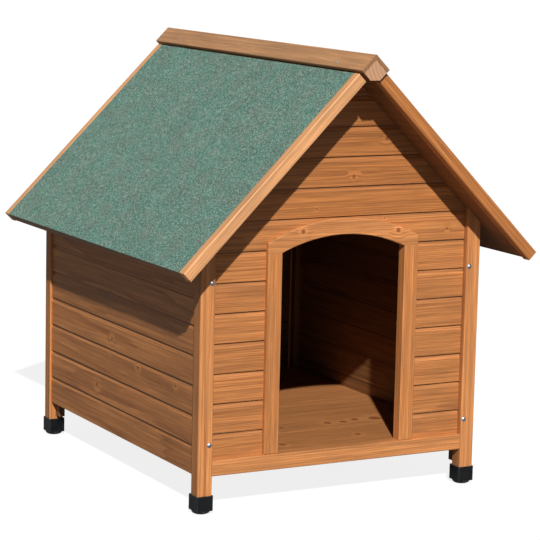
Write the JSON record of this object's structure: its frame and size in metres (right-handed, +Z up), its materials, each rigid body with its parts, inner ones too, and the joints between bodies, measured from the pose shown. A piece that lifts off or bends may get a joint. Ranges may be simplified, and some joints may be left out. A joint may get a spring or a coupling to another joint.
{
  "type": "dog house",
  "caption": "Gabled wooden dog house with an arched doorway, shiplap walls, overhanging felt-covered roof, capped ridge and levelling feet",
  "frame": {"origin": "on the ground plane under the middle of the bounding box", "axes": "+Z up; -Y towards the viewer, out of the arched doorway; +X to the right seen from the front, along the door wall; the ridge runs along Y"},
  "size_m": [0.875, 1.004, 0.9874],
  "materials": {
    "stained_fir": "planed softwood with a translucent golden-brown stain",
    "roofing_felt": "bitumen felt with green mineral granules",
    "black_plastic": "matte injection-moulded black plastic",
    "zinc_steel": "bright zinc-plated steel"
  },
  "bodies": {
    "house": {"corner_post_front_left": "stained_fir", "corner_post_front_right": "stained_fir", "corner_post_rear_left": "stained_fir", "corner_post_rear_right": "stained_fir", "door_arch": "stained_fir", "door_jamb_left": "stained_fir", "door_jamb_right": "stained_fir", "floor_bearers": "stained_fir", "floor_boards": "stained_fir", "foot_cap_front_left": "black_plastic", "foot_cap_front_right": "black_plastic", "foot_cap_rear_left": "black_plastic", "foot_cap_rear_right": "black_plastic", "frame_screws": "zinc_steel", "front_gable_battens": "stained_fir", "front_gable_board_1": "stained_fir", "front_gable_board_2": "stained_fir", "front_gable_board_3": "stained_fir", "front_gable_board_4": "stained_fir", "front_gable_board_5": "stained_fir", "front_slat_left_1": "stained_fir", "front_slat_left_2": "stained_fir", "front_slat_left_3": "stained_fir", "front_slat_left_4": "stained_fir", "front_slat_left_5": "stained_fir", "front_slat_left_6": "stained_fir", "front_slat_left_7": "stained_fir", "front_slat_right_1": "stained_fir", "front_slat_right_2": "stained_fir", "front_slat_right_3": "stained_fir", "front_slat_right_4": "stained_fir", "front_slat_right_5": "stained_fir", "front_slat_right_6": "stained_fir", "front_slat_right_7": "stained_fir", "header_board": "stained_fir", "left_wall_boards": "stained_fir", "rake_trim_front_left": "stained_fir", "rake_trim_front_right": "stained_fir", "rake_trim_rear_left": "stained_fir", "rake_trim_rear_right": "stained_fir", "rear_gable_battens": "stained_fir", "rear_gable_boards": "stained_fir", "rear_rail": "stained_fir", "rear_wall_boards": "stained_fir", "ridge_beam": "stained_fir", "ridge_cap": "stained_fir", "ridge_screws": "zinc_steel", "right_wall_boards": "stained_fir", "roof_deck_left": "stained_fir", "roof_deck_right": "stained_fir", "roof_felt_left": "roofing_felt", "roof_felt_right": "roofing_felt", "sill_rail": "stained_fir", "wall_battens": "stained_fir"},
    "levelling_pad_front_left": {"foot_pad_front_left": "black_plastic"},
    "levelling_pad_front_right": {"foot_pad_front_right": "black_plastic"},
    "levelling_pad_rear_left": {"foot_pad_rear_left": "black_plastic"},
    "levelling_pad_rear_right": {"foot_pad_rear_right": "black_plastic"}
  },
  "joints": [
    {"name": "level_front_left", "type": "slide", "parent": "house", "child": "levelling_pad_front_left", "axis": [0, 0, -1], "range_m": [0, 0.012]},
    {"name": "level_front_right", "type": "slide", "parent": "house", "child": "levelling_pad_front_right", "axis": [0, 0, -1], "range_m": [0, 0.012]},
    {"name": "level_rear_left", "type": "slide", "parent": "house", "child": "levelling_pad_rear_left", "axis": [0, 0, -1], "range_m": [0, 0.012]},
    {"name": "level_rear_right", "type": "slide", "parent": "house", "child": "levelling_pad_rear_right", "axis": [0, 0, -1], "range_m": [0, 0.012]}
  ]
}
